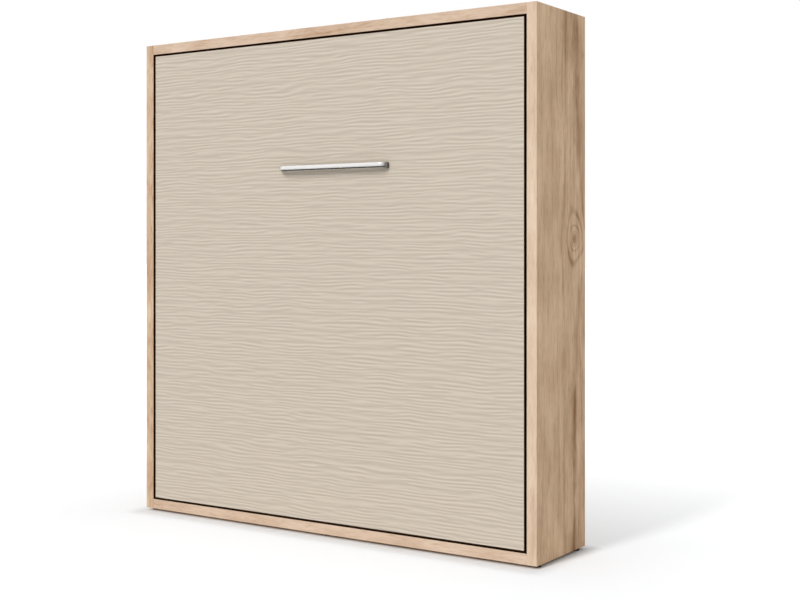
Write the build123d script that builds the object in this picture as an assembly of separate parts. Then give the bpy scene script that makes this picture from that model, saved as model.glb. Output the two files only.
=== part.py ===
from build123d import *
import os
from math import asin, atan2, degrees, hypot, radians, sin

# Upright wall bed for one large mattress, in millimetres.
# +X is to the right seen from the room, -Y faces the room, +Y is the wall, +Z is up.
# The origin lies on the floor under the middle of the whole thing, with the bed folded up.

# Mattress
mattress_width = 1800.0
mattress_length = 2000.0
mattress_thickness = 180.0
mattress_corner = 70.0  # rounding seen from above
mattress_edge = 28.0  # rounding along the upper and lower borders
mattress_side_play = 5.0
mattress_end_play = 7.0

# Boards of the cabinet
board = 44.0  # sides, top and bottom
board_rounding = 1.0
rear_board = 18.0
rear_top_rail_height = 150.0
rear_bottom_rail_height = 100.0
headboard_height = 480.0
headboard_lift = 150.0  # headboard's lower edge above the pivot
bedding_space = 141.0  # room for the bedding behind the folded mattress
mechanism_gap = 64.0  # between the bed's side rail and the cabinet's side
glide_height = 12.0
glide_radius = 15.0
glide_inset = 45.0  # glide centre from the cabinet's front and back

# Front panel
panel_thickness = 18.0
panel_side_gap = 8.0
panel_end_gap = 6.0
panel_foot_overlap = 20.0  # panel past the bed box at the foot end
panel_head_overlap = 6.0  # panel past the bed box at the head end
panel_edging = 2.0  # black band round the panel's edges

# Bed box behind the panel
side_rail = 22.0
end_rail = 18.0
rail_depth = 130.0
batten_depth = 20.0
batten_height = 70.0
batten_count = 3
ledger_depth = 24.0
ledger_width = 30.0
centre_beam_width = 40.0
corner_bracket_leg = 50.0
corner_bracket_gauge = 3.0
corner_bracket_height = 16.0
corner_bracket_lift = 1.0  # off the panel's back

# Sprung slats and their end cups
slat_count = 14  # in each half of the bed
slat_width = 68.0
slat_thickness = 8.0
slat_crown = 11.5
slat_end_margin = 60.0  # first slat's middle from the end rail
slat_to_mattress = 0.5
cup_floor = 3.6
cup_roof = 3.0
cup_wall = 3.0
cup_grip = 30.0  # length of slat end held in a cup
cup_play = 0.4
cup_web = 12.0  # between the two slat ends in a centre cup

# Pivots
pivot_depth = 46.0  # behind the panel's face
pivot_height = 298.0
fold_angle = 90.0
plate_gauge = 5.0
plate_corner = 14.0
pin_radius = 8.0
pin_shoulder_radius = 12.0
bush_wall = 4.0
bush_flange = 4.0
bush_flange_width = 5.0
bush_seat = 11.0  # bush length let into the side rail
running_play = 0.05
seat_play = 0.1
axial_play = 0.5

# Gas struts, upright when the bed is folded up
strut_offset = 26.0  # strut's line behind the pivot
strut_half_length = 204.0  # from the pivot's level to each anchor
strut_tube_radius = 11.0
strut_bore_radius = 9.0
strut_rod_radius = 5.0
strut_piston_radius = 8.6
strut_piston_length = 12.0
strut_guide_length = 10.0
strut_guide_play = 0.15
strut_end_wall = 4.0
strut_eye_radius = 9.0
strut_eye_width = 14.0
strut_neck_radius = 6.0
strut_neck_length = 5.0
strut_end_margin = 30.0  # tube's open end from the rod's eye at full compression
strut_piston_margin = 6.0  # piston from the guide at full extension
stud_radius = 4.0
stud_collar_radius = 7.0
stud_clip_radius = 6.0
stud_clip_length = 3.0

# Foot bow, which swings round the end of the bed and stands under it
leg_tube_radius = 12.5
leg_tube_wall = 2.0
leg_bend_radius = 45.0
leg_pivot_depth = 50.0  # behind the panel's face
leg_pivot_inset = 100.0  # below the panel's upper edge
leg_panel_clearance = 5.5
leg_tail = 14.0  # tube past its pivot bolt
leg_bracket_gauge = 4.0
leg_bracket_height = 80.0
leg_bracket_width = 44.0
leg_bolt_radius = 6.0
leg_nut_size = 19.0
leg_nut_height = 6.0
leg_foot_wall = 1.5
leg_foot_length = 60.0
leg_foot_inset = 140.0  # rubber foot's middle from the bow's arm
leg_cap_length = 4.0

# Stops that the folded panel closes against
stop_overlap = 12.0  # stop behind the panel's border
stop_depth = 20.0
stop_above_plate = 20.0
seal_thickness = 2.7
seal_gap = 0.3
gap_seal_thickness = 1.0  # on the cabinet's walls beside the panel
gap_seal_inset = 1.5  # behind the cabinet's front

# Handle
handle_length = 568.0
handle_projection = 37.0
handle_bar_height = 26.0
handle_bar_depth = 16.0
handle_bend_radius = 26.0
handle_rounding = 7.5
handle_height = 1581.0
handle_shift = 66.0  # middle of the handle to the right of the panel's middle
handle_screw_depth = 12.0

# Straps that hold the mattress
strap_width = 40.0
strap_thickness = 2.0
strap_tail = 60.0  # strap end tucked inside the side rail
strap_gap = 0.3
buckle_length = 64.0
buckle_width = 48.0
buckle_thickness = 9.0
strap_places = (0.28, 0.70)  # shares of the mattress's length from the head

# Fasteners
screw_radius = 2.4
screw_head_radius = 4.6
screw_head_height = 2.6
screw_bite = 14.0
screw_play = 0.1
cam_radius = 7.5
cam_depth = 12.5
cam_inset = 34.0
wall_bracket_gauge = 3.0
wall_bracket_width = 44.0
wall_bracket_height = 90.0
wall_bracket_reach = 48.0
wall_bracket_spacing = 1400.0
wall_hole_radius = 4.5
wall_hole_inset = 60.0  # below the top board
cut_past = 1.0  # how far a cutting tool runs past the face it starts from

# Places that follow from the sizes, along X
bed_inner = mattress_width / 2 + mattress_side_play
bed_outer = bed_inner + side_rail
cabinet_inner = bed_outer + mechanism_gap
cabinet_outer = cabinet_inner + board
panel_half = cabinet_inner - panel_side_gap
strut_x = (bed_outer + plate_gauge + cabinet_inner - plate_gauge) / 2

# Places along Y, from the panel's face to the wall
mattress_seat = (
    panel_thickness + batten_depth + ledger_depth + cup_floor + cup_play
    + slat_thickness + slat_crown + slat_to_mattress
)
cabinet_depth = mattress_seat + mattress_thickness + bedding_space + rear_board
front_y = (handle_projection - cabinet_depth) / 2
back_y = front_y + cabinet_depth
panel_back = front_y + panel_thickness
ledger_front = panel_back + batten_depth
ledger_back = ledger_front + ledger_depth
rail_back = panel_back + rail_depth
mattress_front = front_y + mattress_seat
mattress_back = mattress_front + mattress_thickness
rear_front = back_y - rear_board
pivot_y = front_y + pivot_depth
strut_y = pivot_y + strut_offset
leg_pivot_y = front_y + leg_pivot_depth

# Places along Z, from the floor up
inner_bottom = glide_height + board
panel_bottom = inner_bottom + panel_end_gap
box_bottom = panel_bottom + panel_head_overlap
bay_bottom = box_bottom + end_rail
mattress_bottom = bay_bottom + mattress_end_play
mattress_top = mattress_bottom + mattress_length
bay_top = mattress_top + mattress_end_play
box_top = bay_top + end_rail
panel_top = box_top + panel_foot_overlap
inner_top = panel_top + panel_end_gap
cabinet_height = inner_top + board
strut_top_z = pivot_height + strut_half_length
strut_bottom_z = pivot_height - strut_half_length
leg_pivot_z = panel_top - leg_pivot_inset

# Strut lengths. Both anchors are equally far from the pivot, so the strut turns at half the bed's rate.
strut_radius = hypot(strut_offset, strut_half_length)
strut_extended = 2 * strut_half_length
strut_opening = 2 * asin(strut_half_length / strut_radius)
strut_compressed = 2 * strut_radius * sin((strut_opening - radians(fold_angle)) / 2)
strut_tube_start = strut_eye_radius + strut_neck_length
strut_tube_end = strut_compressed - strut_end_margin
strut_guide_start = strut_tube_end - strut_guide_length
strut_piston_bottom = strut_extended - strut_guide_start + strut_piston_margin

# The bow's arms: out past the panel's end, then down to the floor when the bed is open
leg_foot_radius = leg_tube_radius + leg_foot_wall
leg_reach = leg_pivot_inset + leg_panel_clearance + leg_tube_radius
leg_drop = pivot_height + leg_pivot_depth - pivot_depth - leg_foot_radius
leg_x = bed_outer + leg_bracket_gauge + axial_play + leg_tube_radius
leg_bar_y = leg_pivot_y + leg_drop
leg_bar_z = leg_pivot_z - leg_reach


def block(x, y, z):
    """A box between the low and high ends given along each axis."""
    middle = Pos(sum(x) / 2, sum(y) / 2, sum(z) / 2)
    return middle * Box(x[1] - x[0], y[1] - y[0], z[1] - z[0])


def eased(shape):
    """The same board with its sharp edges taken off."""
    return fillet(shape.edges(), board_rounding)


def rod_x(x, y, z, radius):
    """A round rod along X between the two ends given."""
    return Pos(sum(x) / 2, y, z) * Rot(0, 90, 0) * Cylinder(radius, abs(x[1] - x[0]))


def rod_y(x, y, z, radius):
    """A round rod along Y between the two ends given."""
    return Pos(x, sum(y) / 2, z) * Rot(90, 0, 0) * Cylinder(radius, abs(y[1] - y[0]))


def rod_z(x, y, z, radius):
    """A round rod along Z between the two ends given."""
    return Pos(x, y, sum(z) / 2) * Cylinder(radius, abs(z[1] - z[0]))


def left(shape):
    """The left-hand twin of a right-hand piece."""
    return mirror(shape, Plane.YZ)


def both(shapes):
    """Right-hand pieces with their left-hand twins."""
    return [*shapes, *[left(shape) for shape in shapes]]


def spaced(low, high, count):
    """Evenly spaced places from low to high, both included."""
    return [low + (high - low) * i / (count - 1) for i in range(count)]


def cut(shape, tools):
    """A shape with every tool taken out of it."""
    for tool in tools:
        shape = shape - tool
    return shape


def write(node, *shapes):
    """One file per node, with each piece as a separate solid."""
    solids = [solid for shape in shapes for solid in shape.solids()]
    whole = solids[0] if len(solids) == 1 else Compound(children=solids)
    export_step(whole, f"parts/{node}.step")


def screw_x(x_face, into, y, z, head_out):
    """A screw along X: its head at a plate's face, its shank going the way of into, with a hole for it."""
    head_end = x_face - into * screw_head_height * (1 if head_out else -1)
    tip = x_face + into * (plate_gauge + screw_bite)
    screw = rod_x((x_face, head_end), y, z, screw_head_radius) + rod_x((x_face, tip), y, z, screw_radius)
    hole = rod_x((x_face - into * cut_past, tip + into * cut_past), y, z, screw_radius + screw_play)
    if not head_out:
        hole += rod_x((x_face - into * cut_past, head_end), y, z, screw_head_radius + screw_play)
    return screw, hole


def plate_x(x, y, z):
    """A flat steel plate facing X with rounded corners."""
    plate = block(x, y, z)
    return fillet(plate.edges().filter_by(Axis.X), plate_corner)


def place_screws(y, z):
    """Screw places near the corners of a plate and halfway up its long edges."""
    inset = plate_corner
    rows = (z[0] + inset, (z[0] + z[1]) / 2 + inset, z[1] - inset)
    return [(py, pz) for py in (y[0] + inset, y[1] - inset) for pz in rows]


# Extents of the steel plates at the right-hand pivot
pivot_plate_x = (cabinet_inner - plate_gauge, cabinet_inner)
pivot_plate_y = (pivot_y - strut_offset, strut_y + 2 * strut_offset)
pivot_plate_z = (pivot_height - strut_half_length / 2, strut_top_z + 2 * strut_offset)
hinge_plate_x = (bed_outer, bed_outer + plate_gauge)
hinge_plate_y = (pivot_y - 0.9 * strut_offset, rail_back - plate_gauge)
hinge_plate_z = (box_bottom + plate_gauge, pivot_height + strut_half_length / 2)
bush_radius = pin_radius + running_play + bush_wall
bush_inner_end = bed_outer - bush_seat
bush_outer_end = hinge_plate_x[1] + bush_flange
pivot_screws = [
    screw_x(pivot_plate_x[0], 1, y, z, head_out=False)
    for y, z in place_screws(pivot_plate_y, pivot_plate_z)
]
hinge_screws = [
    screw_x(hinge_plate_x[1], -1, y, z, head_out=True)
    for y, z in place_screws(hinge_plate_y, hinge_plate_z)
]
leg_bracket_z = (leg_pivot_z - leg_bracket_height / 2, leg_pivot_z + leg_bracket_height / 2)
leg_screws = [
    screw_x(bed_outer + leg_bracket_gauge, -1, leg_pivot_y, z, head_out=False)
    for z in (leg_bracket_z[0] + plate_corner, leg_bracket_z[1] - plate_corner)
]


def cam_places():
    """Cam lock places on the top and bottom boards, seen from above."""
    rows = spaced(front_y + 2 * cam_inset, back_y - 2 * cam_inset, 3)
    return [(x, y) for x in (cam_inset - cabinet_inner, cabinet_inner - cam_inset) for y in rows]


def cam_locks(play):
    """Round cam locks let into the top board from below and into the bottom board from above."""
    locks = []
    for x, y in cam_places():
        locks.append(rod_z(x, y, (inner_top, inner_top + cam_depth + play), cam_radius + play))
        locks.append(rod_z(x, y, (inner_bottom - cam_depth - play, inner_bottom), cam_radius + play))
    return locks


def cabinet_boards():
    """The four thick boards that show from the room."""
    depth = (front_y, back_y)
    side = eased(block((cabinet_inner, cabinet_outer), depth, (glide_height, cabinet_height)))
    side = cut(side, [hole for _, hole in pivot_screws])
    write("right_side_panel", side)
    write("left_side_panel", left(side))
    width = (-cabinet_inner, cabinet_inner)
    pockets = cam_locks(screw_play)
    brackets = [screw for _, screw in bracket_screws()]
    top = eased(block(width, depth, (inner_top, cabinet_height)))
    write("top_panel", cut(top, pockets + brackets))
    bottom = eased(block(width, depth, (glide_height, inner_bottom)))
    write("bottom_panel", cut(bottom, pockets))
    write("cam_locks", *cam_locks(0))


def wall_bracket_places():
    return (-wall_bracket_spacing / 2, wall_bracket_spacing / 2)


def bracket_screws():
    """Screws up through the wall brackets into the top board, each with its hole."""
    pairs = []
    for x in wall_bracket_places():
        y = rear_front - wall_bracket_reach / 2
        under = inner_top - wall_bracket_gauge
        tip = inner_top + screw_bite
        head = rod_z(x, y, (under - screw_head_height, under), screw_head_radius)
        screw = head + rod_z(x, y, (under, tip), screw_radius)
        hole = rod_z(x, y, (under - cut_past, tip + cut_past), screw_radius + screw_play)
        pairs.append((screw, hole))
    return pairs


def wall_side():
    """Rear boards, and the brackets that fasten the cabinet to the wall."""
    width = (-cabinet_inner, cabinet_inner)
    depth = (rear_front, back_y)
    hole_z = inner_top - wall_hole_inset
    wall_holes = [
        rod_y(x, (rear_front - 2 * wall_bracket_gauge, back_y + cut_past), hole_z, wall_hole_radius)
        for x in wall_bracket_places()
    ]
    top_rail = eased(block(width, depth, (inner_top - rear_top_rail_height, inner_top)))
    write("rear_top_rail", cut(top_rail, wall_holes))
    low = inner_bottom
    write("rear_bottom_rail", eased(block(width, depth, (low, low + rear_bottom_rail_height))))
    low = pivot_height + headboard_lift
    write("headboard", eased(block(width, depth, (low, low + headboard_height))))
    screws = bracket_screws()
    brackets = []
    for x in wall_bracket_places():
        span = (x - wall_bracket_width / 2, x + wall_bracket_width / 2)
        gauge = wall_bracket_gauge
        flat = block(span, (rear_front - wall_bracket_reach, rear_front), (inner_top - gauge, inner_top))
        upright = block(span, (rear_front - gauge, rear_front), (inner_top - wall_bracket_height, inner_top))
        brackets.append(cut(flat + upright, wall_holes + [hole for _, hole in screws]))
    write("wall_brackets", *brackets)
    write("wall_bracket_screws", *[screw for screw, _ in screws])


def floor_glides():
    """Plastic glides under the sides and under the middle of the bottom board."""
    side_x = cabinet_outer - board / 2
    write("floor_glides", *[
        rod_z(x, y, (0, glide_height), glide_radius)
        for x in (-side_x, 0, side_x)
        for y in (front_y + glide_inset, back_y - glide_inset)
    ])


def stops():
    """Strips that the folded panel closes against, with dark seals on them and beside the panel."""
    strip_front = panel_back + seal_gap + seal_thickness
    depth = (strip_front, strip_front + stop_depth)
    seal_depth = (panel_back + seal_gap, strip_front)
    strip_inner = panel_half - stop_overlap
    side_z = (pivot_plate_z[1] + stop_above_plate, inner_top)
    strip = eased(block((strip_inner, cabinet_inner), depth, side_z))
    write("right_stop_strip", strip)
    write("left_stop_strip", left(strip))
    top_z = (panel_top - stop_overlap, inner_top)
    top_x = (-strip_inner, strip_inner)
    write("top_stop_strip", eased(block(top_x, depth, top_z)))
    side_seal = block((strip_inner, cabinet_inner), seal_depth, side_z)
    write("seal_strips", *both([side_seal]), block(top_x, seal_depth, top_z))
    depth = (front_y + gap_seal_inset, panel_back)
    thick = gap_seal_thickness
    side = block((cabinet_inner - thick, cabinet_inner), depth, (inner_bottom, inner_top))
    width = (thick - cabinet_inner, cabinet_inner - thick)
    ends = [(inner_bottom, inner_bottom + thick), (inner_top - thick, inner_top)]
    write("gap_seals", *both([side]), *[block(width, depth, z) for z in ends])


def pivots():
    """Plates, pins and bushes that the bed turns on."""
    plate = plate_x(pivot_plate_x, pivot_plate_y, pivot_plate_z)
    plate = cut(plate, [hole for _, hole in pivot_screws])
    write("right_pivot_plate", plate)
    write("left_pivot_plate", left(plate))
    write("pivot_plate_screws", *both([screw for screw, _ in pivot_screws]))
    shoulder_end = bush_outer_end + axial_play
    pin = rod_x((shoulder_end, pivot_plate_x[0]), pivot_y, pivot_height, pin_shoulder_radius)
    pin += rod_x((bush_inner_end, shoulder_end), pivot_y, pivot_height, pin_radius)
    write("pivot_pins", *both([pin]))
    bush = rod_x((bush_inner_end, hinge_plate_x[1]), pivot_y, pivot_height, bush_radius)
    flange_radius = bush_radius + bush_flange_width
    bush += rod_x((hinge_plate_x[1], bush_outer_end), pivot_y, pivot_height, flange_radius)
    bore = (bush_inner_end - cut_past, bush_outer_end + cut_past)
    bush -= rod_x(bore, pivot_y, pivot_height, pin_radius + running_play)
    write("pivot_bushes", *both([bush]))
    hinge = plate_x(hinge_plate_x, hinge_plate_y, hinge_plate_z)
    hinge = cut(hinge, [hole for _, hole in hinge_screws] + [bush_hole()])
    write("right_hinge_plate", hinge)
    write("left_hinge_plate", left(hinge))
    write("hinge_plate_screws", *both([screw for screw, _ in hinge_screws]))


def bush_hole():
    """The hole through the hinge plate and into the side rail that the bush sits in."""
    ends = (bush_inner_end - seat_play, hinge_plate_x[1] + seat_play)
    return rod_x(ends, pivot_y, pivot_height, bush_radius + seat_play)


def struts():
    """Gas struts with the tube hung from the cabinet and the rod on the bed, and their studs."""
    eye_x = (strut_x - strut_eye_width / 2, strut_x + strut_eye_width / 2)
    through_eye = (eye_x[0] - cut_past, eye_x[1] + cut_past)
    top, low = strut_top_z, strut_bottom_z
    eye_bore = stud_radius + running_play
    tube = rod_x(eye_x, strut_y, top, strut_eye_radius)
    tube += rod_z(strut_x, strut_y, (top, top - strut_tube_start - cut_past), strut_neck_radius)
    body = rod_z(strut_x, strut_y, (top - strut_tube_start, top - strut_tube_end), strut_tube_radius)
    tube += fillet(body.edges(), 2 * board_rounding)
    bore = (top - strut_tube_start - strut_end_wall, top - strut_guide_start)
    tube -= rod_z(strut_x, strut_y, bore, strut_bore_radius)
    guide = (top - strut_guide_start, top - strut_tube_end - cut_past)
    tube -= rod_z(strut_x, strut_y, guide, strut_rod_radius + strut_guide_play)
    tube -= rod_x(through_eye, strut_y, top, eye_bore)
    write("right_strut_tube", tube)
    write("left_strut_tube", left(tube))
    rod = rod_x(eye_x, strut_y, low, strut_eye_radius)
    rod += rod_z(strut_x, strut_y, (low, low + strut_tube_start), strut_neck_radius)
    rod += rod_z(strut_x, strut_y, (low, low + strut_piston_bottom), strut_rod_radius)
    piston = (low + strut_piston_bottom, low + strut_piston_bottom + strut_piston_length)
    rod += rod_z(strut_x, strut_y, piston, strut_piston_radius)
    rod -= rod_x(through_eye, strut_y, low, eye_bore)
    write("right_strut_rod", rod)
    write("left_strut_rod", left(rod))
    inner_clip = eye_x[0] - axial_play - stud_clip_length
    upper = rod_x((pivot_plate_x[0], eye_x[1] + axial_play), strut_y, top, stud_collar_radius)
    upper += rod_x((inner_clip, pivot_plate_x[0]), strut_y, top, stud_radius)
    upper += rod_x((inner_clip, inner_clip + stud_clip_length), strut_y, top, stud_clip_radius)
    write("strut_upper_studs", *both([upper]))
    outer_clip = eye_x[1] + axial_play + stud_clip_length
    lower = rod_x((hinge_plate_x[1], eye_x[0] - axial_play), strut_y, low, stud_collar_radius)
    lower += rod_x((hinge_plate_x[1], outer_clip), strut_y, low, stud_radius)
    lower += rod_x((outer_clip - stud_clip_length, outer_clip), strut_y, low, stud_clip_radius)
    write("strut_lower_studs", *both([lower]))


def batten_screws():
    """Screws through the battens into the panel, each with its hole."""
    pairs = []
    for z in batten_places():
        for x in spaced(-0.9 * bed_inner, 0.9 * bed_inner, 6):
            tip = front_y + panel_thickness / 3
            head = rod_y(x, (ledger_front - screw_head_height, ledger_front), z, screw_head_radius)
            screw = head + rod_y(x, (tip, ledger_front), z, screw_radius)
            hole = rod_y(x, (tip - screw_play, ledger_front + cut_past), z, screw_radius + screw_play)
            seat = (ledger_front - screw_head_height - screw_play, ledger_front + cut_past)
            hole += rod_y(x, seat, z, screw_head_radius + screw_play)
            pairs.append((screw, hole))
    return pairs


def batten_places():
    """Heights of the battens' middles: between the ends of the box, clear of the handle's screws."""
    return spaced(bay_bottom + mattress_length / 5, bay_top - mattress_length / 8, batten_count)


def panel_and_handle():
    """The front panel with its edge band and battens, and the bow handle screwed on from behind."""
    depth = (front_y, panel_back)
    whole = eased(block((-panel_half, panel_half), depth, (panel_bottom, panel_top)))
    core = panel_half - panel_edging
    panel = block((-core, core), depth, (panel_bottom + panel_edging, panel_top - panel_edging))
    write("panel_edge_band", whole - panel)
    bar_y = front_y - handle_projection + handle_bar_depth / 2
    ends = [handle_shift + side * (handle_length - handle_bar_depth) / 2 for side in (-1, 1)]
    path = FilletPolyline(
        (ends[0], front_y, handle_height), (ends[0], bar_y, handle_height),
        (ends[1], bar_y, handle_height), (ends[1], front_y, handle_height),
        radius=handle_bend_radius,
    )
    section = Plane(path @ 0, x_dir=(1, 0, 0), z_dir=path % 0)
    bar = sweep(section * RectangleRounded(handle_bar_depth, handle_bar_height, handle_rounding), path)
    screws = []
    for x in ends:
        head = rod_y(x, (panel_back, panel_back + screw_head_height), handle_height, screw_head_radius)
        tip = front_y - handle_screw_depth
        screws.append(head + rod_y(x, (tip, panel_back), handle_height, screw_radius))
        bore = (tip - screw_play, panel_back + cut_past)
        hole = rod_y(x, bore, handle_height, screw_radius + screw_play)
        panel -= hole
        bar -= hole
    pairs = batten_screws()
    holes = [hole for _, hole in pairs]
    write("front_panel", cut(panel, holes))
    write("handle", bar)
    write("handle_screws", *screws)
    span = (-bed_inner, bed_inner)
    write("panel_battens", *[
        cut(block(span, (panel_back, ledger_front), (z - batten_height / 2, z + batten_height / 2)), holes)
        for z in batten_places()
    ])
    write("batten_screws", *[screw for screw, _ in pairs])


def bed_box():
    """Rails round the mattress, the ledgers and beam that carry the slats, and the corner brackets."""
    depth = (panel_back, rail_back)
    rail = eased(block((bed_inner, bed_outer), depth, (box_bottom, box_top)))
    holes = [hole for _, hole in hinge_screws + leg_screws]
    rail = cut(rail, holes + [bush_hole(), leg_bolt_hole()])
    write("right_bed_rail", rail)
    write("left_bed_rail", left(rail))
    span = (-bed_inner, bed_inner)
    write("head_rail", eased(block(span, depth, (box_bottom, bay_bottom))))
    write("foot_rail", eased(block(span, depth, (bay_top, box_top))))
    bay = (bay_bottom, bay_top)
    ledger = block((bed_inner - ledger_width, bed_inner), (ledger_front, ledger_back), bay)
    write("right_slat_ledger", ledger)
    write("left_slat_ledger", left(ledger))
    half_beam = centre_beam_width / 2
    write("centre_beam", block((-half_beam, half_beam), (ledger_front, ledger_back), bay))
    gauge, leg = corner_bracket_gauge, corner_bracket_leg
    height = (panel_back + corner_bracket_lift, panel_back + corner_bracket_lift + corner_bracket_height)
    brackets = []
    for low, high in ((bay_bottom, bay_bottom + gauge), (bay_top - gauge, bay_top)):
        along = block((bed_inner - leg, bed_inner), height, (low, high))
        upright = (low, low + leg) if low == bay_bottom else (high - leg, high)
        brackets.append(along + block((bed_inner - gauge, bed_inner), height, upright))
    write("corner_brackets", *both(brackets))


def slats():
    """Bowed slats in two halves, with a cup at each end."""
    slat_low = ledger_back + cup_floor + cup_play
    inner = cup_web / 2
    outer = bed_inner - cup_wall - 2 * cup_play
    middle = (inner + outer) / 2
    upper = slat_low + slat_thickness
    outline = Curve() + [
        ThreePointArc((inner, slat_low), (middle, slat_low + slat_crown), (outer, slat_low)),
        ThreePointArc((inner, upper), (middle, upper + slat_crown), (outer, upper)),
        Line((inner, slat_low), (inner, upper)),
        Line((outer, slat_low), (outer, upper)),
    ]
    slat = extrude(make_face(outline), slat_width)
    rise = 4 * slat_crown / (outer - inner) * cup_grip
    pocket_depth = (slat_low - cup_play, upper + rise + cup_play)
    pocket_z = (-cup_play, slat_width + cup_play)
    cup_depth = (ledger_back, pocket_depth[1] + cup_roof)
    cup_z = (-cup_play - cup_wall, slat_width + cup_play + cup_wall)
    pocket = block((outer - cup_grip - cut_past, outer + cup_play), pocket_depth, pocket_z)
    outer_cup = block((outer - cup_grip, outer + cup_play + cup_wall), cup_depth, cup_z) - pocket
    reach = inner + cup_grip
    pocket = block((inner - cup_play, reach + cut_past), pocket_depth, pocket_z)
    centre_cup = block((-reach, reach), cup_depth, cup_z) - pocket - left(pocket)
    first = bay_bottom + slat_end_margin - slat_width / 2
    last = bay_top - slat_end_margin - slat_width / 2
    rows = [Pos(0, 0, z) for z in spaced(first, last, slat_count)]
    write("right_slats", *[row * slat for row in rows])
    write("left_slats", *[row * left(slat) for row in rows])
    write("outer_slat_cups", *[row * cup for row in rows for cup in both([outer_cup])])
    write("centre_slat_cups", *[row * centre_cup for row in rows])


def mattress():
    """The mattress, with the straps that hold it and their buckles."""
    half = mattress_width / 2
    pad = block((-half, half), (mattress_front, mattress_back), (mattress_bottom, mattress_top))
    pad = fillet(pad.edges().filter_by(Axis.Y), mattress_corner)
    borders = pad.faces().filter_by(Axis.Y).edges()
    write("mattress", fillet(borders, mattress_edge))
    for name, share in zip(("head_strap", "foot_strap"), strap_places):
        write(name, strap(mattress_bottom + share * mattress_length))
    back = mattress_back + 2 * strap_gap + strap_thickness
    buckles = []
    for share in strap_places:
        z = mattress_bottom + share * mattress_length
        width = (-buckle_length / 2, buckle_length / 2)
        height = (z - buckle_width / 2, z + buckle_width / 2)
        buckle = block(width, (back, back + buckle_thickness), height)
        buckles.append(fillet(buckle.edges().filter_by(Axis.Y), buckle_thickness))
    write("strap_buckles", *buckles)


def strap(z):
    """A flat strap from one side rail to the other over the mattress, its ends tucked inside the rails."""
    low = rail_back - strap_tail
    outer_x = bed_inner - strap_gap
    outer_y = mattress_back + strap_gap + strap_thickness
    outer = strap_outline(outer_x, low, outer_y, mattress_edge + strap_thickness)
    inner = strap_outline(outer_x - strap_thickness, low, outer_y - strap_thickness, mattress_edge)
    return Pos(0, 0, z - strap_width / 2) * extrude(outer - inner, strap_width)


def strap_outline(half, low, high, corner):
    face = make_face(Polyline((-half, low), (-half, high), (half, high), (half, low), close=True))
    return fillet(face.vertices().sort_by(Axis.Y)[-2:], corner)


def leg_bolt_hole():
    """The hole through the bracket and part of the side rail that holds the bow's pivot bolt."""
    ends = (bed_outer - side_rail / 3 - cut_past, bed_outer + leg_bracket_gauge + cut_past)
    return rod_x(ends, leg_pivot_y, leg_pivot_z, leg_bolt_radius + seat_play)


def foot_bow():
    """The bow that lies behind the folded mattress and stands under the open bed, with its pivots."""
    tail = leg_pivot_z + leg_tail
    path = FilletPolyline(
        (-leg_x, leg_pivot_y, tail), (-leg_x, leg_pivot_y, leg_bar_z), (-leg_x, leg_bar_y, leg_bar_z),
        (leg_x, leg_bar_y, leg_bar_z), (leg_x, leg_pivot_y, leg_bar_z), (leg_x, leg_pivot_y, tail),
        radius=leg_bend_radius,
    )
    section = Plane(path @ 0, x_dir=(1, 0, 0), z_dir=path % 0)
    tube = sweep(section * (Circle(leg_tube_radius) - Circle(leg_tube_radius - leg_tube_wall)), path)
    bolt_reach = leg_x + leg_tube_radius
    ends = (-bolt_reach - cut_past, bolt_reach + cut_past)
    write("foot_bow", tube - rod_x(ends, leg_pivot_y, leg_pivot_z, leg_bolt_radius + running_play))
    foot_x = leg_x - leg_foot_inset
    ends = (foot_x - leg_foot_length / 2, foot_x + leg_foot_length / 2)
    foot = rod_x(ends, leg_bar_y, leg_bar_z, leg_foot_radius)
    bore = (ends[0] - cut_past, ends[1] + cut_past)
    foot -= rod_x(bore, leg_bar_y, leg_bar_z, leg_tube_radius + running_play)
    write("foot_bow_feet", *both([foot]))
    cap = rod_z(leg_x, leg_pivot_y, (tail, tail + leg_cap_length), leg_tube_radius)
    write("foot_bow_caps", *both([fillet(cap.edges().sort_by(Axis.Z)[-1:], leg_cap_length / 2)]))
    bracket_x = (bed_outer, bed_outer + leg_bracket_gauge)
    bracket_y = (leg_pivot_y - leg_bracket_width / 2, leg_pivot_y + leg_bracket_width / 2)
    bracket = plate_x(bracket_x, bracket_y, leg_bracket_z)
    bracket = cut(bracket, [hole for _, hole in leg_screws] + [leg_bolt_hole()])
    write("right_bow_bracket", bracket)
    write("left_bow_bracket", left(bracket))
    nut = (bolt_reach + axial_play, bolt_reach + axial_play + leg_nut_height)
    bolt = rod_x((bed_outer - side_rail / 3, nut[1]), leg_pivot_y, leg_pivot_z, leg_bolt_radius)
    flats = RegularPolygon(leg_nut_size / 2, 6, major_radius=False)
    head = Plane((nut[0], leg_pivot_y, leg_pivot_z), z_dir=(1, 0, 0)) * flats
    bolt += extrude(head, leg_nut_height)
    write("foot_bow_bolts", *both([bolt]))
    write("bow_bracket_screws", *both([screw for screw, _ in leg_screws]))


def main():
    os.makedirs("parts", exist_ok=True)
    cabinet_boards()
    wall_side()
    floor_glides()
    stops()
    pivots()
    struts()
    panel_and_handle()
    bed_box()
    slats()
    mattress()
    foot_bow()
    print("cabinet", 2 * cabinet_outer, "wide", cabinet_height, "high", cabinet_depth, "deep")
    print("strut", round(strut_extended, 1), "extended", round(strut_compressed, 1), "compressed")
    swing = degrees(atan2(leg_reach, leg_drop))
    print("bow", round(leg_drop, 1), "tall,", round(swing, 1), "degrees from its arm to its bar")


if __name__ == "__main__":
    main()
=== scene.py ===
# %% [markdown]
# # An upright wall bed
#
# This lesson dresses a folding bed that hides in a shallow cabinet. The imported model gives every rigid
# piece its true shape and place, so the first thing the script does is load that model and keep its box.
# Everything that follows is finish: wood decor, an embossed front, metal, plastic and cloth.

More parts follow.
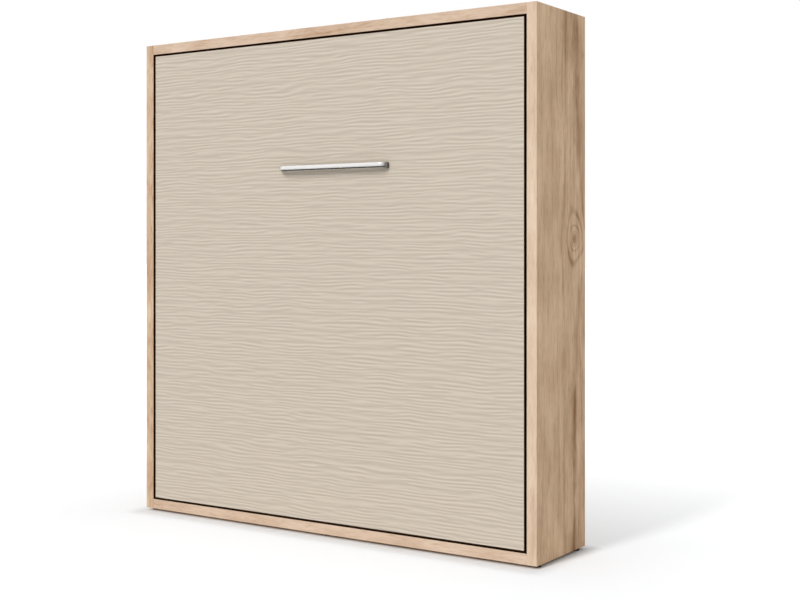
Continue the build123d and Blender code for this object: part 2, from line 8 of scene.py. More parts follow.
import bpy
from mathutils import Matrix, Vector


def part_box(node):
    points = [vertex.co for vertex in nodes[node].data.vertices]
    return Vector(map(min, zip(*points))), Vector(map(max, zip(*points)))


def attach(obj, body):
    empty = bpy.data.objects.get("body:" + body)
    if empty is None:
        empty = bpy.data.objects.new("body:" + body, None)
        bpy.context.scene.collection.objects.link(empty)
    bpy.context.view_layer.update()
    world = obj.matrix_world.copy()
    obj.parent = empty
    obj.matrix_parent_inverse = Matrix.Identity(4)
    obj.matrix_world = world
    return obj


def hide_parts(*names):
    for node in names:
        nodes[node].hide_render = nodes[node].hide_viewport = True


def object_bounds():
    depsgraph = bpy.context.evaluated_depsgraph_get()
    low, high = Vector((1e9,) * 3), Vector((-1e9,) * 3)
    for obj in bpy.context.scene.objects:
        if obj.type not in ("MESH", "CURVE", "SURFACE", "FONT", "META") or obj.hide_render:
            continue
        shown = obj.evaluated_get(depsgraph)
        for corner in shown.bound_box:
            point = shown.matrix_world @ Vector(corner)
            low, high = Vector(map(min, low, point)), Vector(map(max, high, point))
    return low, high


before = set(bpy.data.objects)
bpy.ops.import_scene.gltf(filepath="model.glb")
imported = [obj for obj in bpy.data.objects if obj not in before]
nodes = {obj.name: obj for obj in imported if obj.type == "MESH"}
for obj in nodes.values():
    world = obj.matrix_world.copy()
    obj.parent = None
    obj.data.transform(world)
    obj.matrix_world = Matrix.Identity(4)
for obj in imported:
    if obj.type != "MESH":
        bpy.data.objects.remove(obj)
cad_box = [list(corner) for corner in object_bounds()]

import math
from functools import partial

import bmesh
import bpy
import numpy as np
from mathutils import Matrix, Vector

mm = 0.001
print("nodes:", len(nodes), "box:", cad_box)

# %% [markdown]
# ## Colours and nodes
#
# Colours are written as they look on a screen, in sRGB hex, and one function turns them to the linear
# light that shaders work in. One more function adds a node, sets it up and feeds it with numbers or links,
# so that a material or a Geometry Nodes tree reads as a short list of steps.

# %% Colour and node helpers
def paint(code):
    """An sRGB hex colour as linear RGBA."""
    parts = [int(code[i:i + 2], 16) / 255 for i in (1, 3, 5)]
    return (*[p / 12.92 if p <= 0.04045 else ((p + 0.055) / 1.055) ** 2.4 for p in parts], 1.0)


def feed(node, inputs):
    """Sets a node's inputs to values or hex colours, or links them to an output or a list of outputs."""
    for key, value in inputs.items():
        for source in value if isinstance(value, list) else [value]:
            if isinstance(source, bpy.types.NodeSocket):
                node.id_data.links.new(source, node.inputs[key])
            else:
                is_colour = isinstance(source, str) and source.startswith("#")
                node.inputs[key].default_value = paint(source) if is_colour else source


def add_node(tree, kind, inputs=(), out=None, **settings):
    """A new node with its settings and inputs; gives the output that is asked for, or the first in use.

    Math.ADD is short for a ShaderNodeMath that adds, Mix.RGBA for a ShaderNodeMix of colours, and MeshGrid
    for a GeometryNodeMeshGrid. Inputs go by name, or are a list of the first ones in use.
    """
    kind, *choice = kind.split(".")
    full = [prefix + kind for prefix in ("ShaderNode", "GeometryNode", "")]
    made = tree.nodes.new(next(name for name in full if hasattr(bpy.types, name)))
    if choice:
        labels = ("operation", "mode", "interpolation_type", "data_type")
        settings[next(name for name in labels if hasattr(made, name))] = choice[0]
    for name, value in settings.items():
        setattr(made, name, value)
    if isinstance(inputs, list):
        inputs = dict(zip([i for i, socket in enumerate(made.inputs) if socket.enabled], inputs))
    feed(made, dict(inputs))
    return made.outputs[out] if out else next((socket for socket in made.outputs if socket.enabled), None)


def start_material(name):
    """A material, what adds nodes to it, its surface shader, and the place of each point on the piece."""
    made = bpy.data.materials.new(name)
    made.use_nodes = True
    made.node_tree.nodes.clear()
    add = partial(add_node, made.node_tree)
    surface = add("BsdfPrincipled")
    add("OutputMaterial", {"Surface": surface})
    return made, add, surface.node, add("TexCoord", out="Object")


def put(name, data):
    """A new object in the scene."""
    made = bpy.data.objects.new(name, data)
    bpy.context.scene.collection.objects.link(made)
    return made


def dress(material, *names):
    """Gives CAD nodes their finish."""
    for name in names:
        for held in nodes[name].material_slots:
            held.material = material


print("white is", paint("#FFFFFF")[:3])

# %% [markdown]
# ## Oak decor
#
# The cabinet is chipboard with a printed oak decor. Such a print shows broad soft streaks, thin late-wood
# lines and short pores, all drawn out along the grain, with slow changes of tone from patch to patch. Each
# of those is a noise stretched along the board, at its own real size. The late-wood lines follow a warped
# ramp across the board, and show most at the back, which is cut nearer to the heart of the tree. Round a
# knot they give way to rings, and the wider rings open into lines that flow past it along the grain, as in
# real wood. The front edges carry a separate strip of edging, found by its place along Y. A thin lacquer
# leaves a weak, broad gloss.

# %% Oak decor material
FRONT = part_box("left_side_panel")[0][1]
EDGING = 1.2 * mm
RING = 46 * mm  # from one late-wood line to the next
LEAN = 0.4  # how far the lines lean through the board's thickness
SWAY_TURNS = 3.4  # how many lines the slow sway shifts them by
LATE_FROM, RING_FROM = 0.38, 0.24  # out of 0.5: where the dark of a line, and of a knot's ring, begins
HEART_FROM, HEART_TO, FAINT = -50 * mm, 100 * mm, 0.35  # the Y of the faintest lines, and of full ones
KNOT_GROWTH = 1.6  # from one ring round a knot to the next
KNOT_PULL = 3.5  # in knot sizes, as are the next two: wider rings open into lines along the grain
KNOT_FADE = 4.8, 8.0  # where the rings start to give way to lines, and where they end
KNOT_MIDDLE = 0.1, 2.0  # where the dark middle starts to fade, and where it ends
KNOT_THIN = 5  # flattens a knot across the board, so that it stays on the outer face
OAK_PALE, OAK_DEEP = "#F2D0AA", "#A0744A"
OAK_LAYERS = (  # name, size across the grain, size along it, detail
    ("sway", 240 * mm, 900 * mm, 1.5),
    ("patch", 100 * mm, 260 * mm, 3.0),
    ("streak", 15 * mm, 240 * mm, 3.0),
    ("pore", 5 * mm, 50 * mm, 2.0),  # real pores are under 1 mm wide: drawn so that they show
)
OAK_TONES = (  # layer, where its shade starts, where it is full, its share
    ("patch", 0.32, 0.72, 0.40),
    ("streak", 0.38, 0.68, 0.27),
    ("pore", 0.50, 0.74, 0.30),
)


def oak(name, along, edge, shown=0.75, knot=None):
    """Printed oak with its grain along Z or X, and with a knot if one is given as (x, y, z, size).

    The edging on its front has its own colour, and shows the pattern as strongly as shown says.
    """
    made, add, shader, place = start_material(name)
    turn = (0, math.radians(-90), 0) if along == "X" else (0, 0, 0)
    grain = add("Mapping", {"Vector": place, "Rotation": turn})
    layer = {}
    for label, across, down, detail in OAK_LAYERS:
        drawn = add("Mapping", {"Vector": grain, "Scale": (1 / across, 1 / across, 1 / down)})
        layer[label] = add("TexNoise", {"Vector": drawn, "Scale": 1.0, "Detail": detail, "Roughness": 0.55})
    slope = (LEAN / RING, 1 / RING, 0)
    ramp = add("VectorMath.DOT_PRODUCT", [grain, slope])
    rings = add("Math.MULTIPLY_ADD", [layer["sway"], SWAY_TURNS, ramp])
    swing = add("Math.PINGPONG", [rings, 0.5])
    late = add("MapRange.SMOOTHSTEP", [swing, LATE_FROM, 0.5])
    along_y = add("SeparateXYZ", [place], out="Y")
    most = 1.0 if along == "Z" else 0.5  # level boards are plainer
    heart = add("MapRange", [along_y, HEART_FROM, HEART_TO, FAINT, most])
    fade = add("MapRange", [layer["patch"], 0.34, 0.58, 0.15, 0.5])  # lines come and go in patches
    fade = add("Math.MULTIPLY", [fade, heart])
    if knot:
        x, y, z, size = knot
        spot = add("Mapping", {
            "Vector": place, "Location": (-KNOT_THIN * x, -y, -z), "Scale": (KNOT_THIN, 1, 1),
        })
        part = add("SeparateXYZ", [spot]).node.outputs
        pull = KNOT_PULL * size
        up = add("Math.DIVIDE", [part["Z"], pull])
        up = add("Math.ARCTANGENT", [up])
        up = add("Math.MULTIPLY", [up, pull])
        near = add("CombineXYZ", [part["X"], part["Y"], up])
        reach = add("VectorMath.LENGTH", [near])
        bent = add("TexNoise", {"Vector": near, "Scale": 0.16 / size, "Detail": 0.6})
        stretch = add("MapRange", [bent, 0.3, 0.7, 0.82, 1.18])  # no ring is quite round
        far = add("Math.MULTIPLY", [reach, stretch])
        turns = add("Math.LOGARITHM", [far, KNOT_GROWTH])
        inside = add("MapRange.SMOOTHSTEP", [far, size * KNOT_FADE[0], size * KNOT_FADE[1], 1.0, 0.0])
        swing = add("Math.PINGPONG", [turns, 0.5])
        ring = add("MapRange.SMOOTHSTEP", [swing, RING_FROM, 0.5])
        late = add("Mix.FLOAT", [inside, late, ring])
        core = add("MapRange.SMOOTHSTEP", [far, size * KNOT_MIDDLE[0], size * KNOT_MIDDLE[1], 0.8, 0.0])
        uneven = add("MapRange", [layer["streak"], 0.35, 0.65, 0.15, 0.36])  # and rings in streaks
        round_knot = add("Math.MULTIPLY", [inside, uneven])
        fade = add("Math.MAXIMUM", [fade, round_knot])
    tone = add("Math.MULTIPLY", [late, fade])
    for label, low, high, share in OAK_TONES:
        part = add("MapRange", [layer[label], low, high, 0.0, share])
        if label == "streak":
            part = add("Math.MULTIPLY", [part, heart])
        tone = add("Math.ADD", [tone, part], use_clamp=True)
    if knot:
        tone = add("Math.MAXIMUM", [tone, core])
    wood = add("Mix.RGBA", [tone, OAK_PALE, OAK_DEEP])
    band = add("Math.LESS_THAN", [along_y, FRONT + EDGING])
    soft = add("Math.MULTIPLY", [tone, shown])
    strip = add("Mix.RGBA", [soft, edge, OAK_DEEP])
    colour = add("Mix.RGBA", [band, wood, strip])
    bump = add("Bump", {"Height": tone, "Strength": 0.2, "Distance": 0.4 * mm}, invert=True)
    feed(shader, {"Base Color": colour, "Normal": bump, "Roughness": 0.55, "Specular IOR Level": 0.35})
    return made


KNOT = (1.035, 0.13, 1.273, 22 * mm)
oak_left = oak("oak_decor_left", "Z", "#E1C6A9", shown=1.5)
oak_right = oak("oak_decor_right", "Z", "#E5CDB4", knot=KNOT)
oak_upright = oak("oak_decor_upright", "Z", "#E8CBAE")
oak_level = oak("oak_decor_level", "X", "#DEC5AE", shown=1.0)
dress(oak_left, "left_side_panel")
dress(oak_right, "right_side_panel")
dress(oak_upright, "left_stop_strip", "right_stop_strip", "left_bed_rail", "right_bed_rail")
dress(oak_level, "top_panel", "bottom_panel", "headboard", "rear_top_rail", "rear_bottom_rail")
dress(oak_level, "top_stop_strip", "head_rail", "foot_rail")
print("oak boards dressed")

# %% [markdown]
# ## Trees that grow geometry
#
# Many pieces repeat, or follow a path or a rule. Geometry Nodes suit them, because the sizes stay named
# inputs. These helpers start a tree with its inputs, end it in real geometry with its material, run it on a
# base mesh and keep the result as a plain mesh that can ride on a body.

# %% Geometry Nodes helpers
def start_tree(name, sizes):
    """A Geometry Nodes tree with named numbers and a material, what adds nodes to it, and its inputs."""
    tree = bpy.data.node_groups.new(name, "GeometryNodeTree")
    socket = tree.interface.new_socket
    socket("Geometry", in_out="INPUT", socket_type="NodeSocketGeometry")
    for label, value in sizes.items():
        kind = "NodeSocketInt" if isinstance(value, int) else "NodeSocketFloat"
        socket(label, in_out="INPUT", socket_type=kind).default_value = value
    socket("Material", in_out="INPUT", socket_type="NodeSocketMaterial")
    socket("Geometry", in_out="OUTPUT", socket_type="NodeSocketGeometry")
    return tree, partial(add_node, tree), tree.nodes.new("NodeGroupInput").outputs


def end_tree(tree, size, made):
    """Ends a tree in real, smooth geometry with its material set."""
    add = partial(add_node, tree)
    real = add("RealizeInstances", [made])
    smooth = add("SetShadeSmooth", [real])
    finished = add("SetMaterial", {0: smooth, "Material": size["Material"]})
    add("NodeGroupOutput", [finished])
    return tree


def bake(piece):
    """Keeps what a piece's modifiers make of it as a plain mesh."""
    seen = piece.evaluated_get(bpy.context.evaluated_depsgraph_get())
    mesh = bpy.data.meshes.new_from_object(seen)
    piece.modifiers.clear()
    piece.data = mesh


def grow(name, tree, values, base=None, crease=40):
    """Runs a tree on a base mesh and returns the result as a plain mesh object, sharp past the crease."""
    holder = put(name, base or bpy.data.meshes.new(name))
    modifier = holder.modifiers.new("grow", "NODES")
    modifier.node_group = tree
    for item in tree.interface.items_tree:
        if item.in_out == "INPUT" and item.name in values:
            modifier[item.identifier] = values[item.name]
    bake(holder)
    holder.data.name = name
    holder.data.set_sharp_from_angle(angle=math.radians(crease))
    return holder


def settle(piece, body, slot, *stands_for):
    """Puts a finished piece on its body and hides the nodes that it stands for. The slot is not used."""
    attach(piece, body)
    if stands_for:
        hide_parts(*stands_for)
    print(piece.name, len(piece.data.polygons), "faces")


def route(*paths):
    """A mesh of bare edges along each path; a path whose ends meet is a closed loop."""
    mesh = bpy.data.meshes.new("route")
    points, edges = [], []
    for path in paths:
        closed = path[0] == path[-1]
        spots = path[:-1] if closed else path
        first = len(points)
        points += [tuple(spot) for spot in spots]
        edges += [(first + i, first + i + 1) for i in range(len(spots) - 1)]
        if closed:
            edges.append((first + len(spots) - 1, first))
    mesh.from_pydata(points, edges, [])
    return mesh


# %% [markdown]
# ## The embossed front
#
# The front is one large board whose pale decor is pressed into fine lines that run across it. A flat
# board with a bump map would not have them in its mesh, so the lines are real. A grid node makes the
# face. Two sets of lines lie on it, fine ones and broader, shallower ones, and slow noises shift them so
# that they wander, join and part. One more noise picks the one set or the other from patch to patch. The
# depth is also stored on the mesh, and the decor turns it into painted shade in the hollows and painted
# light on the crests. The board's edge band, and a narrow lip on the border of the face found by its place
# on the piece, are painted dark: painted shade for the shadow in the gap round the board.

# %% Ripple tree
RIPPLES = (  # lines in one spacing, lines that a noise shifts them by, the noise's scale, share of depth
    (1.0, 2.4, 0.9, 1.0),
    (0.47, 1.5, 0.75, 0.6),
)
DRIFT = 0.22  # how much slower the noises change from line to line than the lines do


def ripple_tree():
    tree, add, size = start_tree("ripple_face", {
        "Width": 1.9, "Height": 2.0, "Columns": 90, "Rows": 960,
        "Spacing": 0.014, "Length": 0.2, "Depth": 0.001, "Wander": 0.01,
    })
    face = add("MeshGrid", {
        "Size X": size["Width"], "Size Y": size["Height"], "Vertices X": size["Columns"],
        "Vertices Y": size["Rows"],
    })
    spot = add("InputPosition")
    slow = add("TexNoise", {"Vector": spot, "Scale": 3.4, "Detail": 1.0})
    sway = add("Math.MULTIPLY", [slow, size["Wander"]])
    parts = add("SeparateXYZ", [spot]).node.outputs
    across = add("Math.DIVIDE", [parts["X"], size["Length"]])
    lifted = add("Math.ADD", [parts["Y"], sway])
    up = add("Math.DIVIDE", [lifted, size["Spacing"]])
    slower = add("Math.MULTIPLY", [up, DRIFT])
    drawn = add("CombineXYZ", [across, slower, 4.0])  # any third number: it picks a slice of the noise
    lines = []
    for pace, stray, scale, depth in RIPPLES:
        drift = add("TexNoise", {"Vector": drawn, "Scale": scale, "Detail": 1.0})
        drift = add("Math.MULTIPLY", [drift, stray])
        turn = add("Math.MULTIPLY_ADD", [up, pace, drift])
        swing = add("Math.PINGPONG", [turn, 0.5])
        lines.append(add("MapRange", [swing, 0.0, 0.5, 0.5 - depth / 2, 0.5 + depth / 2]))
    patch = add("TexNoise", {"Vector": drawn, "Scale": 1.7, "Detail": 1.0})
    choice = add("MapRange", [patch, 0.42, 0.64, 1.0, 0.0])
    crest = add("Mix.FLOAT", [choice, lines[1], lines[0]])
    sunk = add("Math.SUBTRACT", [crest, 1.0])
    deep = add("Math.MULTIPLY", [sunk, size["Depth"]])
    shift = add("CombineXYZ", {2: deep})
    moved = add("SetPosition", {0: face, "Offset": shift})
    marked = add("StoreNamedAttribute", {0: moved, "Name": "ripple", "Value": crest})
    return end_tree(tree, size, marked)


# %% Front panel decor
FIBRE, FIBRE_LENGTH = 4 * mm, 1 / 6  # real fibres are under 0.5 mm wide: drawn so that they show
# Melamine film under a patterned press: matt, with painted shade in its hollows and painted light on its
# crests.
panel_decor, add, shader, place = start_material("embossed_beige_decor")
level = add("Attribute", attribute_name="ripple", out="Fac")
fibre_place = add("Mapping", {"Vector": place, "Scale": (1 / FIBRE_LENGTH, 1 / FIBRE_LENGTH, 1 / FIBRE)})
fibre = add("TexNoise", {"Vector": fibre_place, "Scale": 1.0, "Detail": 2.0})
# Painted shade and painted light: the tone follows the depth of the lines, and fine fibres run through it.
mixed = add("Math.MULTIPLY_ADD", [fibre, 0.5, level])
shade = add("MapRange", [mixed, 0.1, 1.35])
fibre_and_painted_shade = add("Mix.RGBA", [shade, "#B3A797", "#D9CDBD"])
PAINTED_SHADE_LIP, LEFT_PAINTED_SHADE_LIP = 2.2 * mm, 5 * mm  # how far the painted shade lip reaches onto the face; it is painted widest on the left
low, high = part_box("front_panel")
low, high = low + Vector((LEFT_PAINTED_SHADE_LIP, 0, PAINTED_SHADE_LIP)), high - Vector((PAINTED_SHADE_LIP, 0, PAINTED_SHADE_LIP))
middle, inner = (low + high) / 2, (high - low) / 2
side = add("VectorMath.SUBTRACT", [place, tuple(middle)])
side = add("VectorMath.ABSOLUTE", [side])
side = add("VectorMath.SUBTRACT", [side, tuple(inner)])
past = add("SeparateXYZ", [side]).node.outputs
past = add("Math.MAXIMUM", [past["X"], past["Z"]])
# Painted shade: the border of the face is painted the dark brown of the gap's shadow, and given less gloss.
rim = add("Math.GREATER_THAN", [past, 0.0])
face = add("Mix.RGBA", [rim, fibre_and_painted_shade, "#2A1503"])
shine = add("MapRange", {0: rim, 3: 0.3, 4: 0.02})
feed(shader, {"Base Color": face, "Specular IOR Level": shine, "Roughness": 0.6})
print("fibres drawn", FIBRE / mm, "mm wide")

# %% Front panel mesh
low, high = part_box("front_panel")
panel = grow("front_panel_embossed", ripple_tree(), {
    "Width": high.x - low.x, "Height": high.z - low.z, "Columns": 94, "Rows": 980,
    "Spacing": 14.5 * mm, "Length": 230 * mm, "Depth": 0.5 * mm, "Wander": 9 * mm, "Material": panel_decor,
})
upright = Matrix.Rotation(math.radians(90), 4, "X")
panel.data.transform(Matrix.Translation(((low.x + high.x) / 2, low.y, (low.z + high.z) / 2)) @ upright)


def close_board(piece, back):
    """Carries the border of a face straight to the back and closes the board."""
    work = bmesh.new()
    work.from_mesh(piece.data)
    rim = [edge for edge in work.edges if edge.is_boundary]
    ring = bmesh.ops.extrude_edge_only(work, edges=rim)["geom"]
    for item in ring:
        if isinstance(item, bmesh.types.BMVert):
            item.co.y = back
    bmesh.ops.contextual_create(work, geom=[edge for edge in work.edges if edge.is_boundary])
    bmesh.ops.recalc_face_normals(work, faces=work.faces)
    work.to_mesh(piece.data)
    work.free()
    piece.data.set_sharp_from_angle(angle=math.radians(60))


close_board(panel, high.y)
settle(panel, "bed", "wavy_decor", "front_panel")

# %% [markdown]
# ## Metals and plastics
#
# Small parts carry most of the mechanism. Each finish starts from its real base: a metal is fully metallic
# with a roughness from how it was made, and a fine noise breaks up the gloss as handling does. The handle's
# tone is painted darker towards the panel: painted shade on its legs, top and underside.

# %% Hardware finishes
def hardware(name, tone, tint, metallic, smooth, rough, grit, scratch=(1, 1, 1), shine=0.5, painted_shade_behind=None):
    """A metal, plastic or yarn with two close tones and an uneven gloss.

    Grit is the pattern's size. Real grit is well under 1 mm, so it is drawn coarser to make it show.
    With behind, a start, an end and a colour, painted shade turns the tone to that colour along Y.
    """
    made, add, shader, place = start_material(name)
    scale = tuple(part / grit for part in scratch)
    drawn = add("Mapping", {"Vector": place, "Scale": scale})
    spots = add("TexNoise", {"Vector": drawn, "Scale": 1.0, "Detail": 3.0})
    colour = add("Mix.RGBA", [spots, tone, tint])
    # Painted shade: the tone darkens along Y towards the given colour.
    if painted_shade_behind:
        begin, full, dark = painted_shade_behind
        depth = add("SeparateXYZ", [place], out="Y")
        share = add("MapRange", [depth, begin, full])
        colour = add("Mix.RGBA", [share, colour, dark])
    gloss = add("MapRange", [spots, 0.3, 0.7, smooth, rough])
    bump = add("Bump", {"Height": spots, "Strength": 0.15, "Distance": 0.1 * mm})
    feed(shader, {"Base Color": colour, "Normal": bump, "Roughness": gloss})
    feed(shader, {"Metallic": metallic, "Specular IOR Level": shine})
    return made


GRIP_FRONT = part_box("handle")[0][1]
# Brushed along its length: one soft, bright band. Painted shade darkens it towards the panel.
satin_nickel = hardware(
    "satin_nickel_brushed_painted_shade", "#ECEBE9", "#E0DFDD", 1.0, 0.14, 0.22, 4 * mm, (0.03, 1, 1),
    painted_shade_behind=(GRIP_FRONT + 8 * mm, GRIP_FRONT + 26 * mm, "#6F6D6A"),
)
# Dipped: cool grey with a cloudy gloss. Chromed: nearly a mirror. Powder coated: dull silver.
zinc = hardware("zinc_plated_steel", "#C3C5C6", "#AEB2B6", 1.0, 0.32, 0.5, 6 * mm)
chrome = hardware("hard_chromed_steel", "#DCDCDD", "#D2D3D5", 1.0, 0.06, 0.12, 8 * mm)
silver_coat = hardware("silver_powder_coat", "#B4B6B8", "#A4A7AA", 0.6, 0.4, 0.52, 2 * mm)
# Sprayed: deep black with clear highlights. Moulded and rolled: dark and dull. Foam: no gloss at all.
black_coat = hardware("black_gloss_paint", "#17181A", "#1F2022", 0.0, 0.22, 0.34, 9 * mm)
black_plastic = hardware("black_moulded_polypropylene", "#1B1B1C", "#262627", 0.0, 0.45, 0.6, 3 * mm)
# Painted shade: the edge band and the dark foam seals are tinted the brown of the shadow in the gaps round
# the front.
edge_band_painted_shade = hardware("abs_edge_band_painted_shade", "#281403", "#2D1704", 0.0, 0.6, 0.75, 4 * mm, shine=0.02)
foam = hardware("dark_foam_seal_painted_shade", "#261202", "#2B1503", 0.0, 0.9, 1.0, 1.5 * mm, shine=0.02)
black_rubber = hardware("black_rubber", "#161616", "#212121", 0.0, 0.7, 0.85, 2 * mm)
# Moulded without pigment: milky and waxy.
nylon = hardware("natural_nylon", "#E3DFD4", "#D8D3C6", 0.0, 0.38, 0.5, 5 * mm)
dress(zinc, "left_pivot_plate", "right_pivot_plate", "pivot_pins", "strut_upper_studs", "strut_lower_studs")
dress(zinc, "wall_brackets", "left_hinge_plate", "right_hinge_plate", "corner_brackets")
dress(zinc, "left_bow_bracket", "right_bow_bracket", "foot_bow_bolts")
dress(chrome, "left_strut_rod", "right_strut_rod")
dress(black_coat, "left_strut_tube", "right_strut_tube")
dress(black_plastic, "floor_glides", "outer_slat_cups", "centre_slat_cups", "foot_bow_caps")
dress(edge_band_painted_shade, "panel_edge_band")
dress(black_rubber, "foot_bow_feet")
dress(nylon, "pivot_bushes")
dress(foam, "seal_strips", "gap_seals")
print("hardware dressed")

# %% [markdown]
# ## Bent bars and tubes
#
# The handle is one bar bent at both ends, and the foot support is one tube bent four times. Both are a
# section swept along a route whose corners are rounded, so one tree makes them. The tree also stores how
# far along and across the bar each point lies, which cloth bands use later for their weave.

# %% Bent bar tree
def bent_route(add, size):
    """The route that a tree is given, with its corners rounded."""
    line = add("MeshToCurve", [size["Geometry"]])
    return add("FilletCurve.POLY", {
        "Curve": line, "Count": size["Bend Steps"], "Radius": size["Bend"], "Limit Radius": True,
    })


def bar_tree(name, level):
    """Sweeps a rounded section along a route; a level route keeps the section's height upright."""
    tree, add, size = start_tree(name, {
        "Bend": 0.02, "Bend Steps": 10, "Thickness": 0.01, "Height": 0.01,
        "Rounding": 0.002, "Round Steps": 4,
    })
    bent = bent_route(add, size)
    if level:
        bent = add("SetCurveNormal.Z_UP", [bent])
    run = add("SplineParameter", out="Length")
    bent = add("StoreNamedAttribute", {0: bent, "Name": "along", "Value": run})
    section = add("CurvePrimitiveQuadrilateral", {"Width": size["Thickness"], "Height": size["Height"]})
    section = add("FilletCurve.POLY", {
        "Curve": section, "Count": size["Round Steps"], "Radius": size["Rounding"], "Limit Radius": True,
    })
    spot = add("InputPosition")
    side = add("SeparateXYZ", [spot], out="Y")
    section = add("StoreNamedAttribute", {0: section, "Name": "across", "Value": side})
    bar = add("CurveToMesh", {"Curve": bent, "Profile Curve": section, "Fill Caps": True})
    return end_tree(tree, size, bar)


level_bar = bar_tree("level_bent_bar", level=True)
free_bar = bar_tree("free_bent_bar", level=False)
print("trees:", level_bar.name, free_bar.name)

# %% Handle
BAR_DEPTH = 16 * mm
low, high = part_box("handle")
x0, x1 = low.x + BAR_DEPTH / 2, high.x - BAR_DEPTH / 2
y, z = low.y + BAR_DEPTH / 2, (low.z + high.z) / 2
grip = [(x0, high.y, z), (x0, y, z), (x1, y, z), (x1, high.y, z)]
handle = grow("bow_handle", level_bar, {
    "Bend": 26 * mm, "Bend Steps": 14, "Thickness": BAR_DEPTH, "Height": high.z - low.z,
    "Rounding": 7.5 * mm, "Round Steps": 8, "Material": satin_nickel,
}, route(grip))
settle(handle, "bed", "satin_nickel", "handle")

# %% Foot bow
TUBE = 12.5 * mm
low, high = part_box("foot_bow")
arm_x, arm_y = high.x - TUBE, low.y + TUBE
foot_y, foot_z = high.y - TUBE, low.z + TUBE
bow_route = [
    (-arm_x, arm_y, high.z), (-arm_x, arm_y, foot_z), (-arm_x, foot_y, foot_z),
    (arm_x, foot_y, foot_z), (arm_x, arm_y, foot_z), (arm_x, arm_y, high.z),
]
bow = grow("foot_bow_tube", free_bar, {
    "Bend": 45 * mm, "Bend Steps": 14, "Thickness": 2 * TUBE, "Height": 2 * TUBE,
    "Rounding": TUBE, "Round Steps": 6, "Material": silver_coat,
}, route(bow_route))
settle(bow, "bow", "silver_paint", "foot_bow")

# %% [markdown]
# ## Screws and cam locks
#
# Cross-head screws hold the plates, battens and handle, and cam locks draw the boards together. Their
# places come from the CAD solids: each loose part of a node is one fastener. One tree models a head, cuts
# a cross into it and sets a copy on every place, turned to face out.

# %% Fastener tree and places
def fastener_tree():
    taper, cross, bury = 0.8, 1.15, 0.4 * mm  # rim and cross in head radii; how deep the shank starts
    tree, add, size = start_tree("cross_head_fastener", {
        "Head": 0.005, "Rise": 0.003, "Shank": 0.002, "Reach": 0.01, "Slot": 0.001, "Slot Depth": 0.001,
    })
    rim = add("Math.MULTIPLY", [size["Head"], taper])
    head = add("MeshCone", {
        "Vertices": 20, "Radius Top": rim, "Radius Bottom": size["Head"], "Depth": size["Rise"],
    })
    sink = add("Math.MULTIPLY", [size["Rise"], -1.0])
    down = add("CombineXYZ", {2: sink})
    head = add("Transform", {0: head, "Translation": down})
    length = add("Math.ADD", [size["Reach"], size["Rise"]])
    shank = add("MeshCylinder", {"Vertices": 10, "Radius": size["Shank"], "Depth": length})
    middle = add("Math.MULTIPLY_ADD", [length, -0.5, -bury])
    down = add("CombineXYZ", {2: middle})
    shank = add("Transform", {0: shank, "Translation": down})
    whole = add("MeshBoolean.UNION", {"Mesh 2": [head, shank]})
    deep = add("Math.MULTIPLY", [size["Slot Depth"], 2.0])
    wide = add("Math.MULTIPLY", [size["Head"], cross])
    slots = []
    for x, y in ((wide, size["Slot"]), (size["Slot"], wide)):
        shape = add("CombineXYZ", [x, y, deep])
        slots.append(add("MeshCube", {"Size": shape}))
    cut = add("MeshBoolean.DIFFERENCE", {"Mesh 1": whole, "Mesh 2": slots})
    way = add("InputNamedAttribute.FLOAT_VECTOR", {"Name": "way"})
    turn = add("FunctionNodeAlignRotationToVector", {"Vector": way}, axis="Z")
    placed = add("InstanceOnPoints", {"Points": size["Geometry"], "Instance": cut, "Rotation": turn})
    return end_tree(tree, size, placed)


def islands(name):
    """The box of each loose part of a CAD node."""
    work = bmesh.new()
    work.from_mesh(nodes[name].data)
    bmesh.ops.remove_doubles(work, verts=work.verts, dist=0.001 * mm)
    left = set(work.verts)
    boxes = []
    while left:
        found, queue = [], [left.pop()]
        while queue:
            vert = queue.pop()
            found.append(vert.co.copy())
            near = [edge.other_vert(vert) for edge in vert.link_edges]
            queue += [other for other in near if other in left]
            left.difference_update(near)
        axes = list(zip(*found))
        boxes.append((Vector([min(axis) for axis in axes]), Vector([max(axis) for axis in axes])))
    work.free()
    return boxes


def head_places(name, outward):
    """A mesh of points at the outer middle of each fastener, with the way each faces, and their length."""
    mesh = bpy.data.meshes.new("places")
    points, ways = [], []
    for low, high in islands(name):
        middle, half = (low + high) / 2, (high - low) / 2
        way = Vector(outward(middle))
        points.append(middle + Vector([half[i] * way[i] for i in range(3)]))
        ways.extend(way)
    mesh.from_pydata(points, [], [])
    mesh.attributes.new("way", "FLOAT_VECTOR", "POINT").data.foreach_set("vector", ways)
    return mesh, 2 * abs(half.dot(way))


